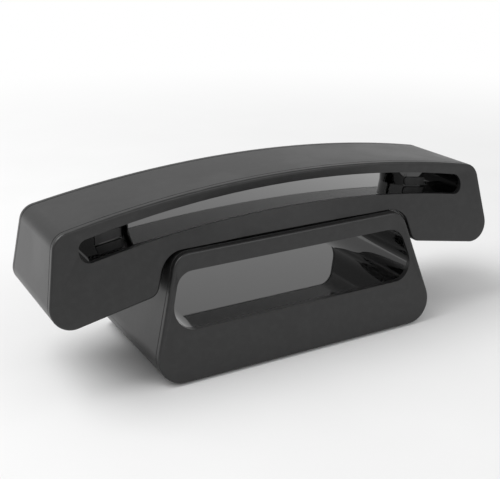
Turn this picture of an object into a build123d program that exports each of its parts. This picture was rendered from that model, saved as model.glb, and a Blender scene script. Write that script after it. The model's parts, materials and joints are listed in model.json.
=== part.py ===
from build123d import *
from math import cos, radians, sin, sqrt, tan
import os

# Cordless desk telephone: a hollow arched handset that lies across a hollow base.
# Millimetres. X runs along the handset, the front is at -Y, Z is up, and the table is Z = 0.

os.makedirs("parts", exist_ok=True)

# ---------------------------------------------------------------- driving dimensions
# Whole set
face_draft = 9.35            # degrees that the front and rear faces lean in towards the top
shell_wall = 1.6             # moulded wall of the bands and covers
liner_wall = 1.2             # wall of the glossy tunnel linings
rim_depth = 2.6              # how far the front and rear frames wrap round the sides
groove_width = 0.4           # shadow groove between a frame and the band behind it
groove_depth = 0.6
lip_radius = 0.9             # rounded outer edge of every frame
lip_land = 0.4               # flat between the rounded edge and the dished face
dish_overlap = 0.05          # the tapered hollow starts just outside the face that it cuts
fit_gap = 0.15               # clearance of a part that is fixed in a hole
foot_stand = 0.8             # rubber feet hold the base this far off the table

# Base
base_half_width = 72.0       # at its underside
base_half_depth = 36.65      # at its underside
base_height = 52.7
base_side_slant = 17.0       # degrees
base_top_round = 8.0
base_bottom_round = 11.0
cover_height = 10.0          # parting line between bottom cover and band
cover_floor = 2.0
window_floor = 21.3          # opening through the base
window_ceiling = 44.9
window_side_margin = 3.4
window_top_round = 8.0
window_bottom_round = 9.0
base_dish = 1.6              # how far the window's upper edge is set back

# Handset
handset_half_length = 110.0
handset_half_depth = 20.5    # at the crown of the arch
arch_crown = 77.1
arch_radius = 502.0
end_slant = 10.3             # degrees, the end faces lean in towards the top
block_bottom = 28.0          # lowest outer corner of the earpiece and mouthpiece blocks
block_rise = 10.5            # degrees, the block undersides rise towards the middle
handset_top_round = 7.4
handset_bottom_round = 8.8
recess_inner_round = 10.0
recess_outer_round = 5.0
recess_side_gap = 3.0        # between the base's sides and the handset's recess
seat_gap = 0.2               # between the base's top and the handset
shell_split = 34.0           # parting line of the handset's two shells at its ends

# Slot through the handset
slot_half_length = 93.7
slot_floor_crown = 62.3
slot_floor_radius = 520.0
slot_ceiling_crown = 72.1
slot_ceiling_radius = 480.0
slot_round = 4.2
slot_dish = 2.5              # how far the slot's upper edge is set back
pod_nose = 65.5              # glossy pods close both slot ends from here outwards
pod_half_depth = 9.0

# Keys in the slot pods
slot_key_middle = 77.0
slot_key_width = 11.4
slot_key_height = 3.8
slot_key_lift = 0.5          # above the slot's floor
slot_key_proud = 0.5
slot_key_travel = 0.4
slot_key_depth = 2.4

# Key panel under the handset
panel_half_length = 50.5
panel_half_width = 20.0
panel_set_in = 1.2
panel_wall = 1.4
panel_round = 4.0
key_travel = 0.4
key_gap = 0.15               # from a key to its hole and to its seat
key_proud = 0.6
key_flange = 0.5             # thickness and reach of the collar that keeps a key in
key_row_pitch = 9.6
key_column_pitch = 12.4
digit_length = 7.2           # along X
digit_width = 9.6            # along Y
digit_first_row = 10.0
call_row = -3.0              # talk and end keys
menu_row = -14.0             # navigation and side keys
navigation_diameter = 10.5
display_middle = -34.5
display_length = 25.0        # window opening along X
display_width = 32.0
display_border = 2.0         # the window's ledge round the opening
window_thickness = 0.8
display_thickness = 1.3
dome_sheet_thickness = 0.3
handset_board_thickness = 1.0
board_clearance = 0.1

# Inside the handset blocks
speaker_diameter = 20.0
speaker_height = 4.0
speaker_place = 85.0
sound_hole_diameter = 1.4
sound_hole_pitch = 2.6
microphone_diameter = 4.0
microphone_height = 1.6
microphone_place = 95.6
cell_diameter = 10.5
cell_length = 44.5
cell_nub_length = 0.8
cell_pitch = 11.5
first_cell = 75.4
cell_gap = 0.3
contact_thickness = 0.5
cover_door_inner = 68.0      # battery door from here
cover_door_outer = 92.6      # to here
door_half_width = 21.0
door_gap = 0.2
pillar_place = 98.6
pillar_half_pitch = 15.0
pillar_diameter = 5.4
antenna_half_length = 20.0
antenna_width = 8.0
antenna_thickness = 0.5

# Charging contacts
contact_place = 46.6         # along X, clear of the last row of keys
contact_half_pitch = 9.0
contact_pin_diameter = 2.0
contact_plate_length = 4.4
contact_plate_width = 6.0
contact_plate_thickness = 0.6
contact_play = 0.25

# Inside the base
ballast_length = 84.0
ballast_width = 50.0
ballast_thickness = 2.5
base_board_length = 100.0
base_board_thickness = 1.6
base_board_lift = 3.5        # posts between cover floor and board
base_screw_x = 36.0
base_screw_y = 20.0
boss_diameter = 7.0
screw_diameter = 2.6
screw_head_diameter = 5.4
screw_head_height = 1.6
base_screw_length = 13.0
jack_width = 12.4
jack_length = 14.0
jack_height = 11.6
jack_mouth_width = 9.8
jack_mouth_height = 6.8
jack_mouth_depth = 11.0
jack_latch_width = 6.2
jack_latch_height = 2.0
jack_mouth_lift = 3.0
line_jack_x = -26.0
power_jack_x = -8.0
page_key_x = 16.0
page_key_diameter = 8.0
page_key_height = 12.5
page_key_proud = 0.6
page_key_travel = 0.8
page_key_stem = 3.5
shield_length = 26.0
shield_width = 22.0
shield_height = 2.6
base_antenna_length = 24.0
base_antenna_height = 7.0
foot_diameter = 10.0
foot_sunk = 0.8
foot_x = 50.0
foot_y = 27.0

# Handset screws
handset_screw_diameter = 2.2
handset_screw_head = 4.2
handset_screw_head_height = 1.3
handset_screw_length = 9.0

# ---------------------------------------------------------------- sizes that follow from them
lean = tan(radians(face_draft))
base_side = tan(radians(base_side_slant))
end_side = tan(radians(end_slant))
rise = tan(radians(block_rise))
rim_z = base_height + seat_gap
handset_half_at_zero = handset_half_depth + arch_crown * lean
recess_half_at_zero = base_half_width + recess_side_gap
beyond = 2 * handset_half_length     # larger than anything that it cuts


def block_underside(x):
    """Height of the block undersides at a distance x from the middle."""
    return block_bottom + (handset_half_length - x) * rise


def base_half(z):
    """Half depth of the base at height z."""
    return base_half_depth - z * lean


def handset_half(z):
    """Half depth of the handset at height z."""
    return handset_half_at_zero - z * lean


def save(node, shape):
    """Write one node, lifted so that the feet stand on the table."""
    solids = Pos(0, 0, foot_stand) * shape
    export_step(solids, "parts/" + node + ".step")


# ---------------------------------------------------------------- shared forms
def polygon(points):
    return make_face(Polyline(*points, close=True))


def rounded(profile, radius, wanted):
    """Round the corners of a flat profile that the test picks."""
    corners = [corner for corner in profile.vertices() if wanted(corner.X, corner.Y)]
    return fillet(corners, radius)


def prism(profile):
    """A profile drawn in X and Z, run through the whole depth."""
    return extrude(Plane.XZ * profile, amount=beyond, both=True)


def leaning_wedge(half_at_zero, inset):
    """Everything between the leaning front and rear faces, each moved inwards by inset."""
    low, high = -beyond / 4, beyond / 2
    low_half = half_at_zero - inset - low * lean
    high_half = half_at_zero - inset - high * lean
    outline = polygon([(-low_half, low), (low_half, low), (high_half, high), (-high_half, high)])
    return extrude(Plane.YZ * outline, amount=beyond, both=True)


def box_between(x0, x1, y0, y1, z0, z1):
    middle = Pos((x0 + x1) / 2, (y0 + y1) / 2, (z0 + z1) / 2)
    return middle * Box(x1 - x0, y1 - y0, z1 - z0)


def rod(x, y, z0, z1, diameter):
    """An upright cylinder."""
    return Pos(x, y, (z0 + z1) / 2) * Cylinder(diameter / 2, z1 - z0)


def rounded_plate(x, y, z0, z1, length, width, corner):
    outline = Pos(x, y, z0) * RectangleRounded(length, width, corner)
    return extrude(outline, amount=z1 - z0)


def front_half():
    return box_between(-beyond, beyond, -beyond, 0, -beyond, beyond)


# ---------------------------------------------------------------- outlines in X and Z
def base_outline():
    top = base_half_width - base_height * base_side
    corners = [(-base_half_width, 0), (base_half_width, 0), (top, base_height), (-top, base_height)]
    profile = rounded(polygon(corners), base_top_round, lambda x, z: z > base_height / 2)
    return rounded(profile, base_bottom_round, lambda x, z: z < base_height / 4)


def window_outline():
    low = base_half_width - window_side_margin - window_floor * base_side
    high = base_half_width - window_side_margin - window_ceiling * base_side
    corners = [(-low, window_floor), (low, window_floor), (high, window_ceiling), (-high, window_ceiling)]
    middle = (window_floor + window_ceiling) / 2
    profile = rounded(polygon(corners), window_top_round, lambda x, z: z > middle)
    return rounded(profile, window_bottom_round, lambda x, z: z == min(z, window_floor + 0.001))


def handset_outline():
    corner_z = block_bottom + (handset_half_length - recess_half_at_zero) * rise
    corner_z = corner_z / (1 - rise * base_side)
    corner_x = recess_half_at_zero - corner_z * base_side
    recess_top = recess_half_at_zero - rim_z * base_side
    peak = arch_crown + handset_top_round
    peak_x = handset_half_length - (peak - block_bottom) * end_side
    right = [
        (recess_top, rim_z),
        (corner_x, corner_z),
        (handset_half_length, block_bottom),
        (peak_x, peak),
    ]
    left = [(-x, z) for x, z in reversed(right)]
    disc = Pos(0, arch_crown - arch_radius) * Circle(arch_radius)
    profile = polygon(right + left) & disc
    profile = rounded(profile, handset_top_round, lambda x, z: z > rim_z + 1)
    profile = rounded(profile, recess_inner_round, lambda x, z: abs(z - rim_z) < 0.01)
    profile = rounded(profile, recess_outer_round, lambda x, z: abs(z - corner_z) < 0.01)
    return rounded(profile, handset_bottom_round, lambda x, z: abs(z - block_bottom) < 0.01)


def slot_outline():
    ceiling = Pos(0, slot_ceiling_crown - slot_ceiling_radius) * Circle(slot_ceiling_radius)
    floor = Pos(0, slot_floor_crown - slot_floor_radius) * Circle(slot_floor_radius)
    middle = Pos(0, slot_floor_crown) * Rectangle(2 * slot_half_length, handset_half_length)
    profile = (middle & ceiling) - floor
    return fillet(profile.vertices(), slot_round)


def slot_floor_at(x):
    return slot_floor_crown - slot_floor_radius + sqrt(slot_floor_radius**2 - x**2)


def slot_ceiling_at(x):
    return slot_ceiling_crown - slot_ceiling_radius + sqrt(slot_ceiling_radius**2 - x**2)


# ---------------------------------------------------------------- frames, bands and linings
def shrunk(profile, amount):
    return offset(profile, amount=-amount, kind=Kind.ARC)


def on_face(x, z, half_at_zero, depth=0.0):
    """A point on the leaning front face, or set back from it."""
    return Vector(x, z * lean - half_at_zero + depth, z)


def half_trace(profile):
    """The crown of a profile and its right-hand corner, side and lower corner, going round."""
    edges = profile.edges()
    crown = edges.sort_by(Axis.Y)[-1]
    outermost = edges.sort_by(Axis.X)[-3:]
    return crown, list(reversed(outermost.sort_by(Axis.Y)))


def walked(edge, downwards):
    """Start, middle and end of an edge, taken downwards or to the right."""
    start, middle, end = edge @ 0, edge @ 0.5, edge @ 1
    wrong_way = start.Y < end.Y if downwards else start.X > end.X
    if wrong_way:
        start, end = end, start
    return start, middle, end


def eight_edges(profile, low_middle):
    """A profile's outline as eight arcs, with one long arc through low_middle as its lower side."""
    crown, right = half_trace(profile)
    spans = [walked(crown, downwards=False)]
    spans += [walked(edge, downwards=True) for edge in right]
    low_end = spans[-1][2]
    spans.append((low_end, Vector(0, low_middle), Vector(-low_end.X, low_end.Y)))
    for start, middle, end in reversed(spans[1:4]):
        spans.append(tuple(Vector(-spot.X, spot.Y) for spot in (end, middle, start)))
    return spans


def dished_face(spans, half_at_zero, pivot, slope, depth=0.0):
    """The spans laid on the leaning face, set back in proportion to their height over pivot."""
    edges = []
    for span in spans:
        setbacks = [depth + slope * (spot.Y - pivot) for spot in span]
        spots = [on_face(spot.X, spot.Y, half_at_zero, back) for spot, back in zip(span, setbacks)]
        bend = (spots[1] - spots[0]).get_angle(spots[2] - spots[0])
        edges.append(Line(spots[0], spots[2]) if bend < 0.01 else ThreePointArc(*spots))
    return make_face(Wire(edges))


def dish(outer, inner, half_at_zero, outer_low, inner_low, pivot, setback):
    """The tapered hollow round an opening: flush at height pivot, set back at its upper edge."""
    crown = inner.bounding_box().max.Y
    flush = dished_face(eight_edges(outer, outer_low), half_at_zero, pivot, 0, depth=-dish_overlap)
    sunk = dished_face(eight_edges(inner, inner_low), half_at_zero, pivot, setback / (crown - pivot))
    return loft([flush, sunk], ruled=True)


def front_frame(outline, opening, half_at_zero, outer_low, inner_low, pivot, setback):
    """A moulded frame: rounded lip, dished face and an opening straight through."""
    plate = leaning_wedge(half_at_zero, 0) - leaning_wedge(half_at_zero, rim_depth)
    plate = prism(outline) & plate & front_half()
    face = plate.faces().filter_by(lambda side: side.normal_at().Y < -0.9).sort_by(SortBy.AREA)[-1]
    plate = fillet(face.outer_wire().edges(), lip_radius)
    outer = shrunk(outline, lip_radius + lip_land)
    inner = shrunk(opening, lip_land / 2)
    hollow = dish(outer, inner, half_at_zero, outer_low, inner_low, pivot, setback)
    return plate - hollow - prism(opening)


def rear_frame(frame):
    return mirror(frame, Plane.XZ)


def band(outline, half_at_zero):
    """The ring between the two frames, with a shadow groove beside each of them."""
    body = prism(outline) & leaning_wedge(half_at_zero, rim_depth + groove_width)
    body += prism(shrunk(outline, groove_depth)) & leaning_wedge(half_at_zero, rim_depth)
    return body - prism(shrunk(outline, shell_wall))


def lining(opening, half_at_zero):
    """The glossy tunnel from one frame to the other."""
    sleeve = offset(opening, amount=liner_wall, kind=Kind.ARC) - opening
    return prism(sleeve) & leaning_wedge(half_at_zero, rim_depth)


# ---------------------------------------------------------------- base
base_profile = base_outline()
window_profile = window_outline()
base_ring = band(base_profile, base_half_depth)
below_split = box_between(-beyond, beyond, -beyond, beyond, -beyond, cover_height)
board_z = cover_floor + base_board_lift
board_top = board_z + base_board_thickness
liner_underside = window_floor - liner_wall
screw_spots = [(x, y) for x in (-base_screw_x, base_screw_x) for y in (-base_screw_y, base_screw_y)]
foot_spots = [(x, y) for x in (-foot_x, foot_x) for y in (-foot_y, foot_y)]
contact_spots = [(contact_place, y) for y in (-contact_half_pitch, contact_half_pitch)]


def rear_inner(z):
    """Where the inside of the base's rear frame is at height z."""
    return base_half(z) - rim_depth


def charging_holes(extra):
    holes = [rod(x, y, 0, arch_crown, contact_pin_diameter + 2 * extra) for x, y in contact_spots]
    return Compound(holes)


def base_band():
    body = base_ring - below_split
    return body - (charging_holes(fit_gap) & box_between(0, beyond, -beyond, beyond, window_ceiling, beyond))


def base_bottom_cover():
    """The tray that carries the board, with posts for its four screws."""
    body = base_ring & below_split
    inside = prism(base_profile) & leaning_wedge(base_half_depth, rim_depth)
    body += inside & box_between(-beyond, beyond, -beyond, beyond, 0, cover_floor)
    for x, y in screw_spots:
        body += rod(x, y, cover_floor, board_z, boss_diameter)
    for x, y in screw_spots:
        body -= rod(x, y, -1, board_z + 1, screw_diameter + 2 * fit_gap)
        body -= rod(x, y, -1, screw_head_height + fit_gap, screw_head_diameter + 2 * fit_gap)
    for x, y in foot_spots:
        body -= rod(x, y, -1, foot_sunk, foot_diameter + 2 * fit_gap)
    return body


def base_front_frame():
    return front_frame(
        base_profile, window_profile, base_half_depth,
        window_floor / 2, window_floor, window_floor, base_dish,
    )


def jack_mouth(x, beyond_rear):
    """The hollow of a modular socket, with the slot for the plug's latch."""
    low = board_top + jack_mouth_lift
    rear = rear_inner(board_top + jack_height) - fit_gap
    front = rear - jack_mouth_depth
    half, latch = jack_mouth_width / 2, jack_latch_width / 2
    mouth = box_between(x - half, x + half, front, rear + beyond_rear, low, low + jack_mouth_height)
    return mouth + box_between(x - latch, x + latch, front, rear + beyond_rear, low - jack_latch_height, low)


def base_rear_frame():
    """As the front frame, with two sockets and the find-the-handset key let into its lower panel."""
    body = rear_frame(base_front_frame())
    for x in (line_jack_x, power_jack_x):
        body -= jack_mouth(x, 3 * rim_depth)
    hole = Cylinder(page_key_diameter / 2 + key_gap, beyond / 2, rotation=(90, 0, 0))
    return body - Pos(page_key_x, beyond / 4, page_key_height) * hole


def base_tunnel_liner():
    """The base's tunnel, with four bosses below it that the screws hold."""
    body = lining(window_profile, base_half_depth)
    for x, y in screw_spots:
        body += rod(x, y, board_top, liner_underside + liner_wall / 2, boss_diameter)
    for x, y in screw_spots:
        body -= rod(x, y, 0, base_screw_top() + fit_gap, screw_diameter)
    return body


def base_screw_top():
    return screw_head_height + base_screw_length


def base_screws():
    """Four self-tapping screws from below."""
    screws = []
    for x, y in screw_spots:
        shank = rod(x, y, screw_head_height / 2, base_screw_top(), screw_diameter)
        head = rod(x, y, fit_gap, screw_head_height, screw_head_diameter)
        drive = rod(x, y, 0, screw_head_height * 0.6, screw_diameter)
        screws.append(head + shank - drive)
    return Compound(screws)


def base_circuit_board():
    half_width = rear_inner(board_top) - fit_gap
    front = -half_width + boss_diameter / 2
    board = box_between(-base_board_length / 2, base_board_length / 2, front, half_width, board_z, board_top)
    for x, y in screw_spots:
        board -= rod(x, y, 0, board_top + 1, screw_diameter + 2 * fit_gap)
    return board


def ballast_plate():
    """A steel weight on the floor of the cover, notched round the posts."""
    plate = rounded_plate(0, 0, cover_floor, cover_floor + ballast_thickness, ballast_length, ballast_width, 3)
    for x, y in screw_spots:
        plate -= rod(x, y, 0, beyond, boss_diameter + 2 * fit_gap)
    return plate


def modular_jack(x):
    rear = rear_inner(board_top + jack_height) - fit_gap
    half = jack_width / 2
    body = box_between(x - half, x + half, rear - jack_length, rear, board_top, board_top + jack_height)
    return body - jack_mouth(x, 1)


def base_radio_shield():
    can = box_between(-shield_length / 2, shield_length / 2, -shield_width, 0, board_top, board_top + shield_height)
    return fillet(can.edges().filter_by(Axis.Z), 1)


def base_antenna():
    """An upright printed aerial soldered to the front of the board."""
    front = -rear_inner(board_top) + boss_diameter
    half = base_antenna_length / 2
    return box_between(-half, half, front, front + 1, board_top, board_top + base_antenna_height)


def page_key():
    """Finds the handset. A collar behind the rear frame keeps it in."""
    collar_rear = rear_inner(page_key_height + page_key_diameter / 2 + key_flange) - key_gap
    tip = base_half(page_key_height) + page_key_proud
    start = collar_rear - key_flange
    cap = Cylinder(page_key_diameter / 2, tip - start, rotation=(90, 0, 0))
    collar = Cylinder(page_key_diameter / 2 + key_flange, key_flange, rotation=(90, 0, 0))
    stem = Cylinder(page_key_diameter / 4, page_key_stem, rotation=(90, 0, 0))
    place = Pos(page_key_x, 0, page_key_height)
    key = place * Pos(0, (tip + start) / 2, 0) * cap
    key += place * Pos(0, start + key_flange / 2, 0) * collar
    key += place * Pos(0, start - page_key_stem / 2, 0) * stem
    rim = key.edges().sort_by(Axis.Y)[-1]
    return fillet(rim, page_key_proud / 2)


def page_switch():
    """The click switch behind the find-the-handset key."""
    collar_rear = rear_inner(page_key_height + page_key_diameter / 2 + key_flange) - key_gap
    face = collar_rear - key_flange - page_key_stem - page_key_travel - key_gap
    half = page_key_diameter / 2
    top = page_key_height + half
    return box_between(page_key_x - half, page_key_x + half, face - half, face, board_top, top)


def contact_block():
    """Holds the two charging pins between the tunnel and the band."""
    low = window_ceiling + liner_wall
    high = base_height - shell_wall
    half_length = contact_pin_diameter * 1.5
    half_width = contact_half_pitch + 2 * contact_pin_diameter
    x = contact_place
    body = box_between(x - half_length, x + half_length, -half_width, half_width, low, high)
    return body - charging_holes(0.02)


def charging_pins():
    """Two pins that stand proud of the base's top and meet the handset's plates."""
    top = panel_face - contact_play
    pins = []
    for x, y in contact_spots:
        pin = rod(x, y, window_ceiling + liner_wall, top, contact_pin_diameter)
        pins.append(fillet(pin.edges().sort_by(Axis.Z)[-1], contact_pin_diameter / 4))
    return Compound(pins)


def base_feet():
    """Four rubber pads sunk into the cover."""
    return Compound([rod(x, y, -foot_stand, foot_sunk, foot_diameter) for x, y in foot_spots])


# ---------------------------------------------------------------- handset
handset_profile = handset_outline()
slot_profile = slot_outline()
handset_ring = band(handset_profile, handset_half_at_zero)
handset_core = prism(shrunk(handset_profile, shell_wall)) & leaning_wedge(handset_half_at_zero, rim_depth)
panel_face = rim_z + panel_set_in
panel_inner = panel_face + panel_wall
collar_low = panel_inner + key_gap
collar_high = collar_low + key_flange
dome_low = collar_high + key_travel + key_gap
handset_board_low = dome_low + dome_sheet_thickness
handset_board_high = handset_board_low + handset_board_thickness
pillar_spots = [(x, y) for x in (-pillar_place, pillar_place) for y in (-pillar_half_pitch, pillar_half_pitch)]
key_columns = [key_column_pitch, 0, -key_column_pitch]
digit_rows = [digit_first_row + row * key_row_pitch for row in range(4)]
digit_names = ["1", "2", "3", "4", "5", "6", "7", "8", "9", "star", "0", "hash"]


def lower_shell_zone():
    """Where the lower shell is: the undersides, the recess, and the ends up to the parting line."""
    reach = pillar_place
    middle = box_between(-reach, reach, -beyond, beyond, 0, rim_z + 2 * shell_wall)
    return middle + box_between(-beyond, beyond, -beyond, beyond, 0, shell_split)


def inside_handset():
    return prism(handset_profile) & leaning_wedge(handset_half_at_zero, rim_depth)


def block_plane(side, x):
    """A plane on the inside of a block's underside, its Z axis pointing into the handset."""
    height = block_underside(x) + shell_wall / cos(radians(block_rise))
    along = Vector(-side, 0, rise).normalized()
    inwards = Vector(side * rise, 0, 1).normalized()
    return Plane(origin=(side * x, 0, height), x_dir=along, z_dir=inwards)


def key_outline(length, width, extra):
    corner = min(length, width) / 4
    return RectangleRounded(length + 2 * extra, width + 2 * extra, corner + extra)


def key_spots():
    """Every key of the panel: its node name, its place and its outline, by a clearance."""
    def digit(extra):
        return key_outline(digit_length, digit_width, extra)

    def round_key(extra):
        return Circle(navigation_diameter / 2 + extra)

    spots = []
    for number, name in enumerate(digit_names):
        row, column = divmod(number, len(key_columns))
        spots.append(("key_" + name, digit_rows[row], key_columns[column], digit))
    outer_left, outer_right = key_columns[0], key_columns[-1]
    spots.append(("talk_key", call_row, outer_left, digit))
    spots.append(("end_key", call_row, outer_right, digit))
    spots.append(("menu_key", menu_row, outer_left, digit))
    spots.append(("back_key", menu_row, outer_right, digit))
    spots.append(("navigation_key", (call_row + menu_row) / 2, 0, round_key))
    return spots


def panel_key(x, y, outline):
    """A key cap that hangs by its collar in the panel."""
    low = panel_face - key_proud
    cap = extrude(Pos(x, y, low) * outline(0), amount=collar_high - low)
    cap = fillet(cap.faces().sort_by(Axis.Z)[0].edges(), key_proud / 2)
    return cap + extrude(Pos(x, y, collar_low) * outline(key_flange), amount=key_flange)


def sound_holes(side, x, rings):
    """A round pattern of sound holes square to a block's underside."""
    spots = [(0, 0)]
    for ring in range(1, rings + 1):
        for step in range(6 * ring):
            turn = radians(360 * step / (6 * ring))
            spots.append((ring * sound_hole_pitch * cos(turn), ring * sound_hole_pitch * sin(turn)))
    hole = Cylinder(sound_hole_diameter / 2, 4 * shell_wall)
    return Compound([block_plane(side, x) * Pos(along, y) * hole for along, y in spots])


def door_box(gap):
    return box_between(
        cover_door_inner + gap, cover_door_outer - gap,
        gap - door_half_width, door_half_width - gap,
        0, block_underside(cover_door_inner) + 2 * shell_wall,
    )


def handset_lower_shell():
    """The undersides and the key panel, with every hole that is let into them."""
    shell = handset_ring & lower_shell_zone()
    length, width = panel_half_length, panel_half_width
    panel = box_between(
        -length - shell_wall, length + shell_wall,
        -width - shell_wall / 2, width + shell_wall / 2, rim_z, panel_inner,
    )
    shell += panel & inside_handset()
    shell -= rounded_plate(0, 0, 0, panel_face, 2 * length, 2 * width, panel_round)
    for name, x, y, outline in key_spots():
        shell -= extrude(Pos(x, y, rim_z) * outline(key_gap), amount=panel_inner)
    shell -= rounded_plate(display_middle, 0, 0, panel_inner + 1, display_length, display_width, 1)
    shell -= display_pane(fit_gap)
    for x, y in contact_spots:
        shell -= contact_plate(x, y, fit_gap)
    shell -= door_box(0)
    shell -= sound_holes(-1, speaker_place, 2)
    shell -= sound_holes(1, microphone_place, 0)
    for x, y in pillar_spots:
        shell += rod(x, y, block_bottom, shell_split, pillar_diameter + shell_wall) & inside_handset()
    for x, y in pillar_spots:
        shell -= rod(x, y, 0, beyond, handset_screw_diameter + 2 * fit_gap) & below_pillar()
        shell -= rod(x, y, 0, screw_seat, handset_screw_head + 2 * fit_gap)
    return shell


screw_seat = block_underside(pillar_place) + handset_screw_head_height + 2 * fit_gap + 1


def below_pillar():
    return box_between(-beyond, beyond, -beyond, beyond, 0, shell_split + 1)


def handset_top_shell():
    """The arch and the end faces, with four pillars for the screws."""
    shell = handset_ring - lower_shell_zone()
    for x, y in pillar_spots:
        pillar = rod(x, y, shell_split, arch_crown, pillar_diameter) & inside_handset()
        shell += pillar - rod(x, y, 0, screw_seat + handset_screw_length + fit_gap, handset_screw_diameter)
    return shell


def handset_screws():
    screws = []
    for x, y in pillar_spots:
        head = rod(x, y, screw_seat - handset_screw_head_height, screw_seat, handset_screw_head)
        shank = rod(x, y, screw_seat, screw_seat + handset_screw_length, handset_screw_diameter)
        low = screw_seat - handset_screw_head_height
        drive = rod(x, y, low - 1, low + handset_screw_head_height * 0.6, handset_screw_diameter)
        screws.append(head + shank - drive)
    return Compound(screws)


def handset_front_frame():
    return front_frame(
        handset_profile, slot_profile, handset_half_at_zero,
        rim_z + lip_radius + lip_land, slot_floor_crown, slot_floor_at(slot_half_length), slot_dish,
    )


def pod_plan(radius):
    """A pod seen from above, with a fully round nose: radius is its half depth."""
    middle = pod_nose + pod_half_depth
    length = handset_half_length - middle
    return Pos(middle, 0) * Circle(radius) + Pos(middle + length / 2, 0) * Rectangle(length, 2 * radius)


def slot_key_profile(gap):
    """The outline of a slot key from the front: it follows the slot's floor."""
    centre = Pos(0, slot_floor_crown - slot_floor_radius)
    low = slot_floor_radius + slot_key_lift
    strip = centre * Circle(low + slot_key_height + gap) - centre * Circle(low - gap)
    length = slot_key_width + 2 * gap
    height = (slot_floor_at(slot_key_middle) + slot_ceiling_at(slot_key_middle)) / 2
    piece = strip & Pos(slot_key_middle, height) * Rectangle(length, height)
    nose = piece.vertices().sort_by(Axis.X)[:2]
    return fillet(nose, slot_key_height / 3)


def standing(plan):
    return extrude(plan, amount=beyond)


def slot_key():
    """A key that wraps the front of the right-hand pod."""
    outer = pod_half_depth + slot_key_proud
    wrap = standing(pod_plan(outer) - pod_plan(outer - slot_key_depth))
    return wrap & prism(slot_key_profile(0)) & front_half()


def slot_pod():
    """The right-hand pod, with the pocket that its key moves in."""
    back = pod_half_depth + slot_key_proud - slot_key_depth - slot_key_travel - key_gap
    pocket = standing(pod_plan(2 * pod_half_depth) - pod_plan(back))
    pod = standing(pod_plan(pod_half_depth)) & prism(slot_profile)
    return pod - (pocket & prism(slot_key_profile(key_gap)) & front_half())


def display_pane(gap):
    length = display_length + 2 * display_border + 2 * gap
    width = display_width + 2 * display_border + 2 * gap
    return rounded_plate(display_middle, 0, panel_face, panel_face + window_thickness, length, width, 2)


def display_module():
    length = display_length + 2 * display_border
    width = display_width + 2 * display_border
    return rounded_plate(display_middle, 0, panel_inner, panel_inner + display_thickness, length, width, 0.5)


def dome_sheet():
    """The click-dome foil under all the keys."""
    low_x = menu_row - key_row_pitch / 2
    high_x = digit_rows[-1] + key_row_pitch / 2
    width = 2 * (key_column_pitch + digit_width / 2 + key_flange)
    middle = (low_x + high_x) / 2
    return rounded_plate(middle, 0, dome_low, handset_board_low, high_x - low_x, width, 1)


def handset_circuit_board():
    length = 2 * (panel_half_length - board_clearance)
    width = 2 * (panel_half_width - board_clearance)
    return rounded_plate(0, 0, handset_board_low, handset_board_high, length, width, 1)


def contact_plate(x, y, gap):
    top = panel_face + contact_plate_thickness
    length, width = contact_plate_length + 2 * gap, contact_plate_width + 2 * gap
    return rounded_plate(x, y, panel_face, top, length, width, 0.8)


def charge_plates():
    return Compound([contact_plate(x, y, 0) for x, y in contact_spots])


def speaker():
    """The earpiece driver: a basket with a smaller magnet behind it."""
    place = block_plane(-1, speaker_place)
    basket = place * Pos(0, 0, speaker_height / 4) * Cylinder(speaker_diameter / 2, speaker_height / 2)
    magnet = place * Pos(0, 0, speaker_height / 2) * Cylinder(speaker_diameter / 3, speaker_height)
    return basket + magnet


def microphone():
    place = block_plane(1, microphone_place)
    return place * Pos(0, 0, microphone_height / 2) * Cylinder(microphone_diameter / 2, microphone_height)


def cell_axes():
    """X and Z of the two cells' axes, each the same height over the battery door."""
    above = (shell_wall + cell_gap + cell_diameter / 2) / cos(radians(block_rise))
    return [(x, block_underside(x) + above) for x in (first_cell, first_cell + cell_pitch)]


def lying_rod(x, z, y0, y1, diameter):
    """A cylinder along the depth."""
    return Pos(x, (y0 + y1) / 2, z) * Cylinder(diameter / 2, y1 - y0, rotation=(90, 0, 0))


def battery_cells():
    """Two small cells side by side, pointing opposite ways."""
    cells = []
    for number, (x, z) in enumerate(cell_axes()):
        way = 1 - 2 * number
        half = cell_length / 2
        ends = sorted([-way * half, way * (half - cell_nub_length)])
        nub = sorted([way * (half - cell_nub_length), way * half])
        cells.append(lying_rod(x, z, *ends, cell_diameter) + lying_rod(x, z, *nub, cell_diameter / 3))
    return Compound(cells)


def battery_contacts():
    """A spring plate at each end of each cell."""
    plates = []
    reach = cell_length / 2 + fit_gap
    half = cell_diameter / 3
    for x, z in cell_axes():
        for y in (-reach - contact_thickness, reach):
            plates.append(box_between(x - half, x + half, y, y + contact_thickness, z - half, z + half))
    return Compound(plates)


def battery_saddle():
    """The compartment roof, with a trough for each cell."""
    spots = cell_axes()
    half = cell_diameter / 2
    low = max(z for x, z in spots)
    high = low + half + shell_wall
    block = box_between(
        spots[0][0] - half, spots[1][0] + half, -cell_length / 3, cell_length / 3, low, high,
    )
    for x, z in spots:
        block -= lying_rod(x, z, -beyond, beyond, cell_diameter + 2 * cell_gap)
        block -= box_between(x - half, x + half, -beyond, beyond, 0, z) if z == low else Part()
    return block


def battery_door():
    return handset_ring & door_box(door_gap)


def handset_antenna():
    """A sprung strip that lies along the top of the slot's lining."""
    low = slot_ceiling_radius + liner_wall
    centre = Pos(0, slot_ceiling_crown - slot_ceiling_radius)
    strip = centre * Circle(low + antenna_thickness) - centre * Circle(low)
    strip = strip & Pos(0, slot_ceiling_crown) * Rectangle(2 * antenna_half_length, 4 * liner_wall)
    half = antenna_width / 2
    return prism(strip) & box_between(-beyond, beyond, -half, half, 0, beyond)


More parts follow.
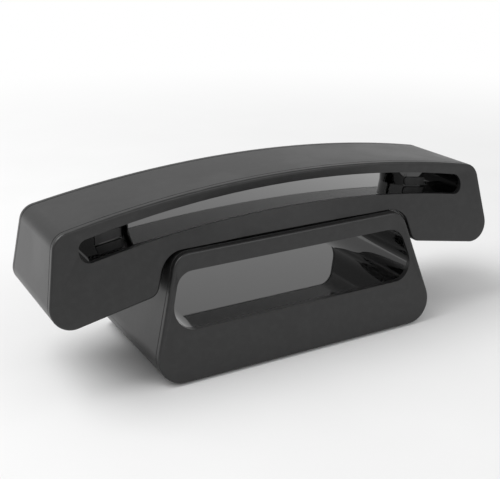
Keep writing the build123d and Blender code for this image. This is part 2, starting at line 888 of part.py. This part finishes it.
# ---------------------------------------------------------------- write every node
save("base_band", base_band())
save("base_bottom_cover", base_bottom_cover())
save("base_front_frame", base_front_frame())
save("base_rear_frame", base_rear_frame())
save("base_tunnel_liner", base_tunnel_liner())
save("base_circuit_board", base_circuit_board())
save("base_radio_shield", base_radio_shield())
save("base_antenna", base_antenna())
save("base_screws", base_screws())
save("base_feet", base_feet())
save("ballast_plate", ballast_plate())
save("line_jack", modular_jack(line_jack_x))
save("power_jack", modular_jack(power_jack_x))
save("page_key", page_key())
save("page_switch", page_switch())
save("charging_contact_block", contact_block())
save("charging_pins", charging_pins())

save("handset_top_shell", handset_top_shell())
save("handset_lower_shell", handset_lower_shell())
save("handset_front_frame", handset_front_frame())
save("handset_rear_frame", rear_frame(handset_front_frame()))
save("handset_slot_liner", lining(slot_profile, handset_half_at_zero))
save("slot_pod_right", slot_pod())
save("slot_pod_left", mirror(slot_pod(), Plane.YZ))
save("slot_key_right", slot_key())
save("slot_key_left", mirror(slot_key(), Plane.YZ))
save("handset_screws", handset_screws())
save("handset_antenna", handset_antenna())
save("handset_circuit_board", handset_circuit_board())
save("key_dome_sheet", dome_sheet())
save("display_window", display_pane(0))
save("display_module", display_module())
save("charging_plates", charge_plates())
save("earpiece_speaker", speaker())
save("microphone", microphone())
save("battery_cells", battery_cells())
save("battery_contacts", battery_contacts())
save("battery_saddle", battery_saddle())
save("battery_door", battery_door())
for node, x, y, outline in key_spots():
    save(node, panel_key(x, y, outline))
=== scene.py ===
# %% [markdown]
# # A cordless desk telephone in satin and gloss black
#
# The telephone has two parts. A hollow base, wider at its foot than at its top, charges a
# long arched handset that lies across it and hangs over both ends like a saddle. Both are
# thin-walled bands closed by picture frames, and both are open from front to back: the
# base through a large window, the handset through a long slot lined with mirror-like
# black plastic. This lesson takes the solids that an engineer has drawn, gives every
# piece its finish, eases the edges and lights it all in a small studio.

# %% Load the engineer's model
import json
import math

import bmesh
import bpy
from mathutils import Matrix, Vector


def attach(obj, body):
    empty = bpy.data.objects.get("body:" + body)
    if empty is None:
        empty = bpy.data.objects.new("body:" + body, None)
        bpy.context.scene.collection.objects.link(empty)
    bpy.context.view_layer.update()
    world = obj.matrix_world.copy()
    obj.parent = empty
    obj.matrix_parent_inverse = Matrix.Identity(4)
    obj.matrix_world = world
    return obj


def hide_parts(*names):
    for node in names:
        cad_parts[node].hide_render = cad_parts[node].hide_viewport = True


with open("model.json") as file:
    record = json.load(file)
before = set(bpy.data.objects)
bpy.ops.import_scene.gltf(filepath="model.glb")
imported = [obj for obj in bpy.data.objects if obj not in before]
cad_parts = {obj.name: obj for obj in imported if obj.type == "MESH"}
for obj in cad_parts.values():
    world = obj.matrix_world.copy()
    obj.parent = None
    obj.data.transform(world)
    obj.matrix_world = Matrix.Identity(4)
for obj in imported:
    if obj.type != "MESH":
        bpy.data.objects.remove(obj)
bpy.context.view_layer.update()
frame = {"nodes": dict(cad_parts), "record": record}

mm = 0.001
bodies = frame["record"]["behaviour"]["bodies"]
slot_of = {row["node"]: row["material_slot"] for row in frame["record"]["subparts"]}
body_of = {node: body for body, nodes in bodies.items() for node in nodes}
print("solids:", len(frame["nodes"]), "bodies:", len(bodies))

# %% [markdown]
# ## Writing shader maths as sums
#
# Dust, grain and smudges are sums of noise patterns. Blender adds numbers with Math nodes,
# which are slow to read back when there are twenty of them. A small class that wraps a
# socket lets Python's own + - * and / add those nodes, so a finish reads like a formula.

# %% A socket that takes part in sums
class Signal:
    """One value that varies over a surface; operators on it add Math nodes."""

    def __init__(self, finish, socket):
        self.finish = finish
        self.socket = socket

    def _sum(self, operation, first, second):
        return self.finish.node("ShaderNodeMath", {"operation": operation}, {0: first, 1: second})

    def __add__(self, other):
        return self._sum("ADD", self, other)

    def __sub__(self, other):
        return self._sum("SUBTRACT", self, other)

    def __mul__(self, other):
        return self._sum("MULTIPLY", self, other)

    __radd__ = __add__
    __rmul__ = __mul__

    def between(self, low, high):
        """0 below low, 1 above high and a smooth slope from one to the other."""
        slope = {"interpolation_type": "SMOOTHSTEP"}
        return self.finish.node("ShaderNodeMapRange", slope, {"Value": self, 1: low, 2: high})


# %% A recipe for one material
class Finish:
    """A material and the few moves that all recipes share."""

    def __init__(self, name):
        self.material = bpy.data.materials.new(name)
        self.material.use_nodes = True
        self.tree = self.material.node_tree
        self.tree.nodes.clear()

    def node(self, kind, settings, sockets, output=0):
        """Adds a node: settings first, then the values or links of its sockets."""
        made = self.tree.nodes.new(kind)
        for name, value in settings.items():
            setattr(made, name, value)
        for name, value in sockets.items():
            if isinstance(value, Signal):
                self.tree.links.new(value.socket, made.inputs[name])
            else:
                made.inputs[name].default_value = value
        return Signal(self, made.outputs[output]) if made.outputs else None

    def place(self):
        return self.node("ShaderNodeTexCoord", {}, {}, "Object")

    def noise(self, patch, detail=2.0, along=(1, 1, 1)):
        """Soft noise with patches about `patch` metres across, drawn out by `along`."""
        scale = tuple(1 / (patch * part) for part in along)
        spread = self.node("ShaderNodeMapping", {}, {"Vector": self.place(), "Scale": scale})
        return self.node("ShaderNodeTexNoise", {}, {"Vector": spread, "Scale": 1, "Detail": detail})

    def shade(self, dark, light, amount):
        """A colour between two others, picked by a number from 0 to 1."""
        sockets = {0: amount, 6: (*dark, 1), 7: (*light, 1)}
        return self.node("ShaderNodeMix", {"data_type": "RGBA"}, sockets, 2)

    def bump(self, height, depth, strength=1.0):
        sockets = {"Height": height, "Distance": depth, "Strength": strength}
        return self.node("ShaderNodeBump", {}, sockets)

    def surface(self, **sockets):
        """Ends the recipe with a Principled shader; an underscore stands for a space."""
        named = {name.replace("_", " "): value for name, value in sockets.items()}
        shader = self.node("ShaderNodeBsdfPrincipled", {}, named)
        self.node("ShaderNodeOutputMaterial", {}, {"Surface": shader})
        return self.material


def grey(level):
    return (level, level, level)


# %% [markdown]
# ## Satin black shell
#
# The outer shells are moulded in black plastic with a very fine spark-eroded grain. The
# grain is too fine to be seen at arm's length, so most of its effect is roughness; a
# trace of real bump breaks the highlights up from close by. Hands leave smudges a few
# centimetres across that make the satin a little glossier, and a soft dust lifts the black.

# %% Satin black
def satin_black():
    finish = Finish("satin_black_shell")
    smudge = finish.noise(28 * mm, 3).between(0.42, 0.66)
    dust = finish.noise(3 * mm, 4).between(0.35, 0.8)
    grain = finish.noise(0.22 * mm, 2)
    return finish.surface(
        Base_Color=finish.shade(grey(0.0085), grey(0.0135), dust),
        Roughness=0.33 + 0.05 * grain - 0.045 * smudge,
        Specular_IOR_Level=0.5,
        Normal=finish.bump(grain, 0.006 * mm, 0.5),
    )


# %% [markdown]
# ## Gloss black lining
#
# The insides of the slot and of the window are polished like a piano. They act as dark
# mirrors: what shows in them is the pale room behind the telephone. Only faint wiping
# marks along the slot and a little dust spoil the mirror.

# %% Gloss black
def gloss_black():
    finish = Finish("gloss_black_lining")
    wiped = finish.noise(9 * mm, 3, along=(6, 1, 1)).between(0.4, 0.75)
    dust = finish.noise(0.9 * mm, 4).between(0.62, 0.8)
    return finish.surface(
        Base_Color=finish.shade(grey(0.002), grey(0.006), dust),
        Roughness=0.035 + 0.03 * wiped + 0.06 * dust,
        Specular_IOR_Level=0.6,
        Coat_Weight=0.6,
        Coat_Roughness=0.03,
    )


# %% [markdown]
# ## Keys, window and display
#
# Keys are a dark grey that is a shade lighter than the shell, with patches that touch
# has polished. The window over the display is a tinted clear plate, and the display
# below it is a grey-green liquid crystal with faint rows of cells.

# %% Key grey
def key_grey():
    finish = Finish("dark_grey_keys")
    worn = finish.noise(6 * mm, 3).between(0.45, 0.7)
    grain = finish.noise(0.3 * mm, 2)
    return finish.surface(
        Base_Color=finish.shade(grey(0.030), grey(0.042), worn),
        Roughness=0.38 + 0.08 * grain - 0.08 * worn,
        Normal=finish.bump(grain, 0.008 * mm, 0.6),
    )


# %% Tinted window
def tinted_window():
    finish = Finish("dark_window")
    dust = finish.noise(2 * mm, 4).between(0.5, 0.85)
    return finish.surface(
        Base_Color=finish.shade(grey(0.02), grey(0.05), dust),
        Roughness=0.04 + 0.08 * dust,
        Alpha=0.42 + 0.1 * dust,
        Coat_Weight=0.5,
    )


# %% Liquid crystal
def liquid_crystal():
    finish = Finish("display_glass")
    parts = finish.node("ShaderNodeSeparateXYZ", {}, {0: finish.place()}, "X")
    lines = finish.node("ShaderNodeMath", {"operation": "FRACT"}, {0: parts * (1 / (0.55 * mm))})
    cells = lines.between(0.72, 0.95)
    cloud = finish.noise(12 * mm, 2)
    return finish.surface(
        Base_Color=finish.shade((0.19, 0.24, 0.19), (0.25, 0.30, 0.23), 0.75 * cloud + 0.25 * cells),
        Roughness=0.25 + 0.1 * cloud,
    )


# %% [markdown]
# ## Rubber, boards and metal
#
# The rest is seen only from below, through the sockets or with the battery door off, but
# it gets the same care: chalky rubber feet, green boards with a weave under the varnish,
# dull zinc screws, tinned sheet, gold contacts, and printed sleeves round the cells.

# %% Rubber
def foot_rubber():
    finish = Finish("rubber_feet")
    chalk = finish.noise(1.2 * mm, 4).between(0.4, 0.8)
    return finish.surface(
        Base_Color=finish.shade(grey(0.018), grey(0.045), chalk),
        Roughness=0.72 + 0.18 * chalk,
        Normal=finish.bump(finish.noise(0.4 * mm, 2), 0.03 * mm, 0.5),
    )


# %% Circuit board
def board_green():
    finish = Finish("circuit_board")
    weave = finish.noise(0.5 * mm, 2, along=(3, 1, 1)) * finish.noise(0.5 * mm, 2, along=(1, 3, 1))
    tracks = finish.noise(2.4 * mm, 1, along=(4, 1, 1)).between(0.5, 0.54)
    return finish.surface(
        Base_Color=finish.shade((0.008, 0.075, 0.03), (0.02, 0.15, 0.06), 0.7 * tracks + weave),
        Roughness=0.32 + 0.2 * weave,
        Normal=finish.bump(tracks, 0.02 * mm, 0.4),
    )


# %% Metals
def metal(name, colour, tarnished, rough):
    finish = Finish(name)
    cloud = finish.noise(2.5 * mm, 4).between(0.3, 0.75)
    scratch = finish.noise(0.5 * mm, 2, along=(1, 9, 9))
    return finish.surface(
        Base_Color=finish.shade(colour, tarnished, cloud),
        Metallic=1.0,
        Roughness=rough + 0.14 * cloud + 0.06 * scratch,
        Normal=finish.bump(scratch, 0.004 * mm, 0.4),
    )


# %% Plain inner mouldings and battery sleeves
def inner_moulding():
    finish = Finish("inner_plastic")
    flow = finish.noise(7 * mm, 3).between(0.35, 0.7)
    return finish.surface(
        Base_Color=finish.shade(grey(0.014), grey(0.024), flow),
        Roughness=0.42 + 0.12 * flow,
        Normal=finish.bump(finish.noise(0.5 * mm, 2), 0.01 * mm, 0.4),
    )


def cell_sleeve():
    finish = Finish("battery_sleeve")
    length = finish.node("ShaderNodeSeparateXYZ", {}, {0: finish.place()}, "Y")
    band = length.between(14 * mm, 14.4 * mm)
    crease = finish.noise(1.5 * mm, 3, along=(1, 5, 1))
    return finish.surface(
        Base_Color=finish.shade((0.03, 0.12, 0.30), (0.45, 0.46, 0.47), band),
        Roughness=0.24 + 0.12 * crease,
        Normal=finish.bump(crease, 0.03 * mm, 0.4),
    )


# %% Put each finish in its slot
finishes = {
    "satin_black_shell": satin_black(),
    "gloss_black_lining": gloss_black(),
    "dark_grey_keys": key_grey(),
    "dark_window": tinted_window(),
    "display_glass": liquid_crystal(),
    "rubber_feet": foot_rubber(),
    "circuit_board": board_green(),
    "zinc_steel": metal("zinc_steel", grey(0.55), (0.42, 0.42, 0.38), 0.28),
    "tinned_metal": metal("tinned_metal", (0.66, 0.66, 0.63), (0.5, 0.5, 0.47), 0.25),
    "gold_contact": metal("gold_contact", (0.86, 0.62, 0.24), (0.74, 0.5, 0.2), 0.18),
    "inner_plastic": inner_moulding(),
    "battery_sleeve": cell_sleeve(),
}
for node, solid in frame["nodes"].items():
    solid.data.materials.clear()
    solid.data.materials.append(finishes[slot_of[node]])
print("finishes:", len(finishes))

# %% [markdown]
# ## Easing the edges
#
# A drawn solid meets itself in knife edges, but no moulding comes out of a tool like
# that, and it is the tiny rounding that catches a thin line of light and makes a thing
# look real. The drawn mesh may not be touched, so a copy takes its place: its loose
# triangles are merged, flat neighbours are joined, and the sharp edges get a bevel of a
# few tenths of a millimetre. The curved faces are then shaded smooth.

# %% A copy with eased edges
merge_distance = 0.002 * mm
flat_turn = math.radians(0.4)
sharp_turn = math.radians(28)


def eased(node, ease, segments=3):
    """A copy of a drawn solid with rounded edges, standing in for it."""
    solid = frame["nodes"][node]
    shape = bmesh.new()
    shape.from_mesh(solid.data)
    bmesh.ops.remove_doubles(shape, verts=shape.verts, dist=merge_distance)
    bmesh.ops.dissolve_limit(shape, angle_limit=flat_turn, verts=shape.verts, edges=shape.edges)
    mesh = bpy.data.meshes.new("eased_" + node)
    shape.to_mesh(mesh)
    shape.free()
    mesh.materials.append(finishes[slot_of[node]])
    mesh.polygons.foreach_set("use_smooth", [True] * len(mesh.polygons))
    piece = bpy.data.objects.new("eased_" + node, mesh)
    bpy.context.scene.collection.objects.link(piece)
    bevel = piece.modifiers.new("ease", "BEVEL")
    bevel.width = ease
    bevel.segments = segments
    bevel.limit_method = "ANGLE"
    bevel.angle_limit = sharp_turn
    bevel.use_clamp_overlap = True
    bevel.miter_outer = "MITER_ARC"
    normals = piece.modifiers.new("flat_faces_stay_flat", "WEIGHTED_NORMAL")
    normals.keep_sharp = True
    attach(piece, body_of[node])
    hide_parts(node)
    return piece


# %% Ease everything that a hand or an eye can reach
eases = {
    0.35 * mm: [
        "base_front_frame", "base_rear_frame", "handset_front_frame", "handset_rear_frame",
        "slot_pod_left", "slot_pod_right",
    ],
    0.25 * mm: [
        "base_band", "base_bottom_cover", "handset_top_shell", "handset_lower_shell",
        "slot_key_left", "slot_key_right",
    ],
    0.2 * mm: [node for node in body_of if node.startswith("key_") and node in bodies]
    + ["talk_key", "end_key", "menu_key", "back_key", "navigation_key", "page_key"],
    0.15 * mm: ["battery_door", "base_feet", "line_jack", "power_jack", "display_window"],
}
for ease, nodes in eases.items():
    for node in nodes:
        eased(node, ease)
print("eased pieces:", sum(len(nodes) for nodes in eases.values()))

# %% [markdown]
# ## The studio
#
# Black gloss has no colour of its own to show: all its shape is read from what it
# mirrors. So the studio is pale all round, with one broad soft lamp high on the left and
# behind, a weaker one in front, and a floor that runs away into white.

# %% Floor
floor_half_side = 4.0
floor_shape = bmesh.new()
bmesh.ops.create_grid(floor_shape, x_segments=1, y_segments=1, size=floor_half_side)
floor_mesh = bpy.data.meshes.new("studio_floor")
floor_shape.to_mesh(floor_mesh)
floor_shape.free()
floor = bpy.data.objects.new("studio_floor", floor_mesh)
bpy.context.scene.collection.objects.link(floor)


def pale_floor():
    """Pale grey that turns to plain white with distance, for the eye and for mirrors."""
    finish = Finish("pale_floor")
    away = finish.node("ShaderNodeVectorMath", {"operation": "LENGTH"}, {0: finish.place()}, "Value")
    eye = finish.node("ShaderNodeLightPath", {}, {}, "Is Camera Ray")
    mirror = finish.node("ShaderNodeLightPath", {}, {}, "Is Glossy Ray")
    paper = finish.noise(60 * mm, 2)
    matt = finish.node(
        "ShaderNodeBsdfDiffuse", {}, {"Color": finish.shade(grey(0.76), grey(0.80), paper)}
    )
    white = finish.node("ShaderNodeEmission", {}, {"Color": (1, 1, 1, 1), "Strength": 1.0})
    far = away.between(0.16, 0.75) * (eye + mirror)
    mixed = finish.node("ShaderNodeMixShader", {}, {0: far, 1: matt, 2: white})
    finish.node("ShaderNodeOutputMaterial", {}, {"Surface": mixed})
    return finish.material


floor_mesh.materials.append(pale_floor())
print("floor side in metres:", 2 * floor_half_side)

# %% Sky
plain_white = (1, 1, 1, 1)
seen_strength = 1.0
lighting_strength = 0.62
world = bpy.data.worlds.new("studio")
bpy.context.scene.world = world
world.use_nodes = True
sky = world.node_tree
sky.nodes.clear()
rays = sky.nodes.new("ShaderNodeLightPath")
backdrop = sky.nodes.new("ShaderNodeBackground")
backdrop.inputs["Strength"].default_value = seen_strength
backdrop.inputs["Color"].default_value = plain_white
fill = sky.nodes.new("ShaderNodeBackground")
fill.inputs["Strength"].default_value = lighting_strength
fill.inputs["Color"].default_value = plain_white
pick = sky.nodes.new("ShaderNodeMixShader")
sky.links.new(rays.outputs["Is Camera Ray"], pick.inputs[0])
sky.links.new(fill.outputs[0], pick.inputs[1])
sky.links.new(backdrop.outputs[0], pick.inputs[2])
sky_out = sky.nodes.new("ShaderNodeOutputWorld")
sky.links.new(pick.outputs[0], sky_out.inputs["Surface"])
print("light from all round:", lighting_strength)


# %% Lamps
def soft_lamp(name, place, aim, size, power):
    lamp = bpy.data.lights.new(name, "AREA")
    lamp.shape = "RECTANGLE"
    lamp.size, lamp.size_y = size
    lamp.energy = power
    holder = bpy.data.objects.new(name, lamp)
    bpy.context.scene.collection.objects.link(holder)
    holder.location = place
    holder.rotation_mode = "QUATERNION"
    holder.rotation_quaternion = (Vector(aim) - Vector(place)).to_track_quat("-Z", "Y")
    print(name, "watts:", power)


lamp_aim = (0, 0, 0.03)
soft_lamp("key_lamp", place=(-0.55, 0.25, 0.95), aim=lamp_aim, size=(0.9, 0.7), power=9.0)
soft_lamp("front_lamp", place=(0.5, -1.0, 0.7), aim=lamp_aim, size=(0.8, 0.5), power=3.0)

# %% [markdown]
# ## Camera
#
# The camera stands to the left of the telephone and a hand's width above it, close
# enough for some perspective: the near end looks a little larger than the far one.

# %% Camera
view_azimuth = math.radians(-28.67)
view_elevation = math.radians(20.17)
view_roll = math.radians(-0.35)
view_aim = Vector((-2.8, 8.3, 39.0)) * mm
view_distance = 415 * mm
lens = 64.9
sensor_width = 36

back = Vector((
    math.sin(view_azimuth) * math.cos(view_elevation),
    -math.cos(view_azimuth) * math.cos(view_elevation),
    math.sin(view_elevation),
))
level = Vector((math.cos(view_azimuth), math.sin(view_azimuth), 0))
upright = back.cross(level)
turned = Matrix((level, upright, back)).transposed() @ Matrix.Rotation(view_roll, 3, "Z")
camera_data = bpy.data.cameras.new("camera")
camera_data.lens = lens
camera_data.sensor_width = sensor_width
camera_data.sensor_fit = "HORIZONTAL"
camera_data.clip_start = 0.01
camera = bpy.data.objects.new("camera", camera_data)
bpy.context.scene.collection.objects.link(camera)
camera.matrix_world = Matrix.Translation(view_aim + back * view_distance) @ turned.to_4x4()
bpy.context.scene.camera = camera
bpy.context.scene.view_settings.view_transform = "Standard"
print("camera at:", [round(part, 3) for part in camera.matrix_world.translation])
